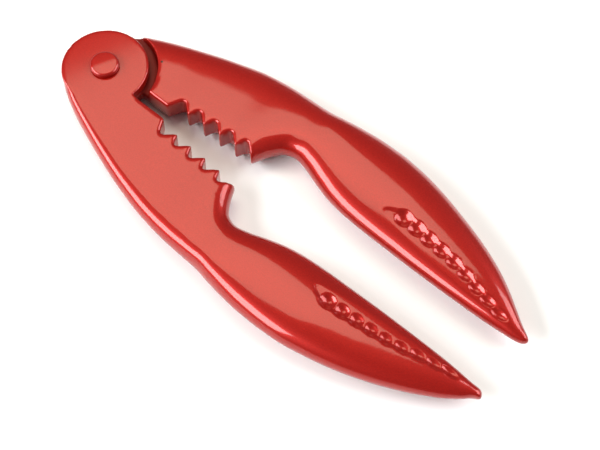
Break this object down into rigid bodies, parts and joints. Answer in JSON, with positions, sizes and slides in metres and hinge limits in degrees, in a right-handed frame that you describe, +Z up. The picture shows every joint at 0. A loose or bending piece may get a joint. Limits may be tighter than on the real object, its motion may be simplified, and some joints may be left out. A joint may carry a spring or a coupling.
{
  "type": "nutcracker",
  "caption": "Claw-shaped hand nutcracker: two toothed jaws on long tapering handles, joined by a rivet through lapped ears.",
  "frame": {"origin": "on the rivet's axis, at the flat end of its tail, on the plane the tool lies on", "axes": "+X runs between the two handles towards their tips, +Y towards the arm whose ear lies underneath, +Z up along the rivet, out of its head"},
  "size_m": [0.1825, 0.0774, 0.0124],
  "materials": {
    "arm_enamel": "high-gloss red enamel over die casting",
    "rivet_enamel": "high-gloss red enamel over a steel rivet"
  },
  "bodies": {
    "right_arm": {"arm_right": "arm_enamel", "pivot_rivet": "rivet_enamel"},
    "left_arm": {"arm_left": "arm_enamel"}
  },
  "joints": [
    {"name": "jaw_pivot", "type": "hinge", "parent": "right_arm", "child": "left_arm", "pos_m": [0, 0, 0.0062], "axis": [0, 0, 1], "range_deg": [-6.8, 120]}
  ]
}
